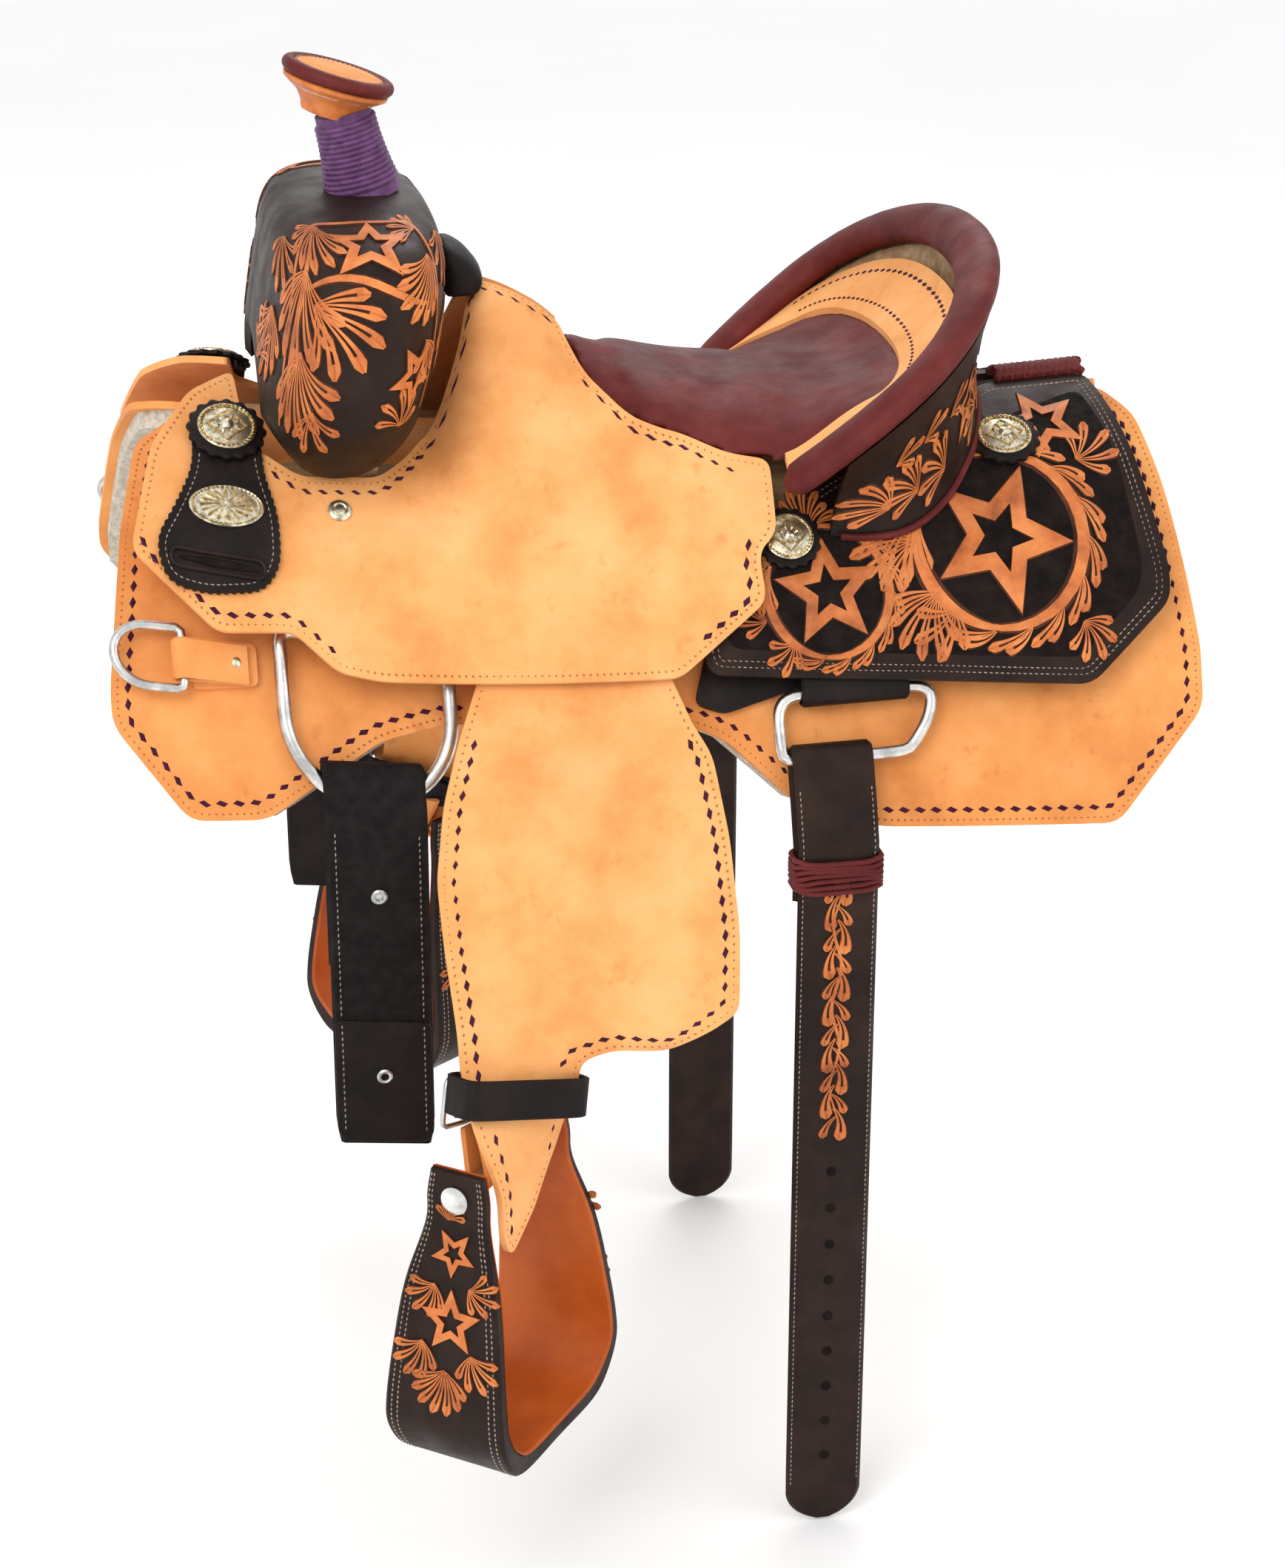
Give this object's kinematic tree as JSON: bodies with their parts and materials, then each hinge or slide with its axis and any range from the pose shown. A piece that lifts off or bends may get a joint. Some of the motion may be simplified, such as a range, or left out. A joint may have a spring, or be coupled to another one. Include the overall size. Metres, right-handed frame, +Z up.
{
  "type": "western saddle",
  "caption": "Western stock saddle with tooled leather, stirrups on hinged fenders, rigging dees and hanging billets.",
  "frame": {"origin": "centre plane, halfway along the skirts, on the ridge line where they rest on the horse's back", "axes": "+Z up, +X towards the cantle, -Y the rider's left (near) side"},
  "size_m": [0.68, 0.7034, 0.9453],
  "materials": {
    "roughout_leather": "roughout",
    "skirting_leather": "satin",
    "chocolate_leather": "satin, tooled",
    "black_strap": "woven",
    "maroon_seat_leather": "smooth",
    "horn_cord": "braided",
    "fleece": "woolly",
    "tree_wood": "matte",
    "steel": "brushed",
    "antique_silver": "antiqued"
  },
  "bodies": {
    "saddle": {"breast_dee_tab_left": "skirting_leather", "breast_dee_tab_right": "skirting_leather", "cantle_back": "chocolate_leather", "cantle_binding": "maroon_seat_leather", "cantle_board": "tree_wood", "front_concho_left": "antique_silver", "front_concho_right": "antique_silver", "front_dee_left": "steel", "front_dee_right": "steel", "front_rigging_left": "black_strap", "front_rigging_right": "black_strap", "ground_seat": "steel", "hand_hold": "black_strap", "horn": "steel", "horn_cap_cover": "roughout_leather", "horn_wrap": "horn_cord", "latigo_keeper_left": "chocolate_leather", "latigo_keeper_right": "chocolate_leather", "lining_left": "fleece", "lining_right": "fleece", "rear_concho_left": "antique_silver", "rear_concho_right": "antique_silver", "rear_jockey_lacing": "maroon_seat_leather", "rear_jockey_left": "chocolate_leather", "rear_jockey_right": "chocolate_leather", "rear_rigging_left": "black_strap", "rear_rigging_right": "black_strap", "seat": "maroon_seat_leather", "seat_concho_left": "antique_silver", "seat_concho_right": "antique_silver", "seat_jockey_left": "roughout_leather", "seat_jockey_right": "roughout_leather", "skirt_left": "skirting_leather", "skirt_right": "skirting_leather", "swell_cover": "chocolate_leather", "tree_bar_left": "tree_wood", "tree_bar_right": "tree_wood", "tree_fork": "tree_wood"},
    "stirrup_leather_left": {"stirrup_leather_left": "skirting_leather"},
    "fender_left": {"fender_left": "roughout_leather", "stirrup_leather_loop_left": "skirting_leather", "hobble_strap_left": "chocolate_leather"},
    "stirrup_left": {"stirrup_left": "chocolate_leather", "stirrup_bolt_left": "steel"},
    "rear_dee_left": {"rear_dee_left": "steel"},
    "rear_billet_left": {"rear_billet_left": "chocolate_leather", "rear_billet_lace_left": "maroon_seat_leather"},
    "breast_dee_left": {"breast_dee_left": "steel"},
    "stirrup_leather_right": {"stirrup_leather_right": "skirting_leather"},
    "fender_right": {"fender_right": "roughout_leather", "stirrup_leather_loop_right": "skirting_leather", "hobble_strap_right": "chocolate_leather"},
    "stirrup_right": {"stirrup_right": "chocolate_leather", "stirrup_bolt_right": "steel"},
    "rear_dee_right": {"rear_dee_right": "steel"},
    "rear_billet_right": {"rear_billet_right": "chocolate_leather", "rear_billet_lace_right": "maroon_seat_leather"},
    "breast_dee_right": {"breast_dee_right": "steel"},
    "latigo": {"latigo": "black_strap"},
    "off_billet": {"off_billet": "black_strap"}
  },
  "joints": [
    {"name": "leather_swing_left", "type": "hinge", "parent": "saddle", "child": "stirrup_leather_left", "pos_m": [-0.07, -0.12523, -0.04995], "axis": [0, -0.8354, 0.5497], "range_deg": [-6, 8]},
    {"name": "fender_lift_left", "type": "hinge", "parent": "stirrup_leather_left", "child": "fender_left", "pos_m": [-0.07, -0.18005, -0.09945], "axis": [-1, 0, 0], "range_deg": [0, 70]},
    {"name": "stirrup_swing_left", "type": "hinge", "parent": "fender_left", "child": "stirrup_left", "pos_m": [-0.13528, -0.26632, -0.36751], "axis": [-0.6002, -0.7998, 0], "range_deg": [-15, 40]},
    {"name": "rear_dee_lift_left", "type": "hinge", "parent": "saddle", "child": "rear_dee_left", "pos_m": [0.103, -0.16898, -0.11419], "axis": [-1, 0, 0], "range_deg": [0, 25]},
    {"name": "rear_billet_swing_left", "type": "hinge", "parent": "rear_dee_left", "child": "rear_billet_left", "pos_m": [0.0845, -0.18735, -0.14981], "axis": [-1, 0, 0], "range_deg": [0, 70]},
    {"name": "breast_dee_flip_left", "type": "hinge", "parent": "saddle", "child": "breast_dee_left", "pos_m": [-0.306, -0.15864, -0.06905], "axis": [0, 0.532, 0.8467], "range_deg": [0, 100]},
    {"name": "leather_swing_right", "type": "hinge", "parent": "saddle", "child": "stirrup_leather_right", "pos_m": [-0.07, 0.12523, -0.04995], "axis": [0, -0.8354, -0.5497], "range_deg": [-6, 8]},
    {"name": "fender_lift_right", "type": "hinge", "parent": "stirrup_leather_right", "child": "fender_right", "pos_m": [-0.07, 0.18005, -0.09945], "axis": [1, 0, 0], "range_deg": [0, 70]},
    {"name": "stirrup_swing_right", "type": "hinge", "parent": "fender_right", "child": "stirrup_right", "pos_m": [-0.13528, 0.26632, -0.36751], "axis": [0.6002, -0.7998, 0], "range_deg": [-15, 40]},
    {"name": "rear_dee_lift_right", "type": "hinge", "parent": "saddle", "child": "rear_dee_right", "pos_m": [0.103, 0.16898, -0.11419], "axis": [1, 0, 0], "range_deg": [0, 25]},
    {"name": "rear_billet_swing_right", "type": "hinge", "parent": "rear_dee_right", "child": "rear_billet_right", "pos_m": [0.0845, 0.18735, -0.14981], "axis": [1, 0, 0], "range_deg": [0, 70]},
    {"name": "breast_dee_flip_right", "type": "hinge", "parent": "saddle", "child": "breast_dee_right", "pos_m": [-0.306, 0.15864, -0.06905], "axis": [0, 0.532, -0.8467], "range_deg": [0, 100]},
    {"name": "latigo_swing", "type": "hinge", "parent": "saddle", "child": "latigo", "pos_m": [-0.198, -0.17162, -0.10843], "axis": [0, -0.8757, 0.4829], "range_deg": [0, 5]},
    {"name": "off_billet_swing", "type": "hinge", "parent": "saddle", "child": "off_billet", "pos_m": [-0.198, 0.17162, -0.10843], "axis": [0, -0.8757, -0.4829], "range_deg": [0, 5]}
  ]
}
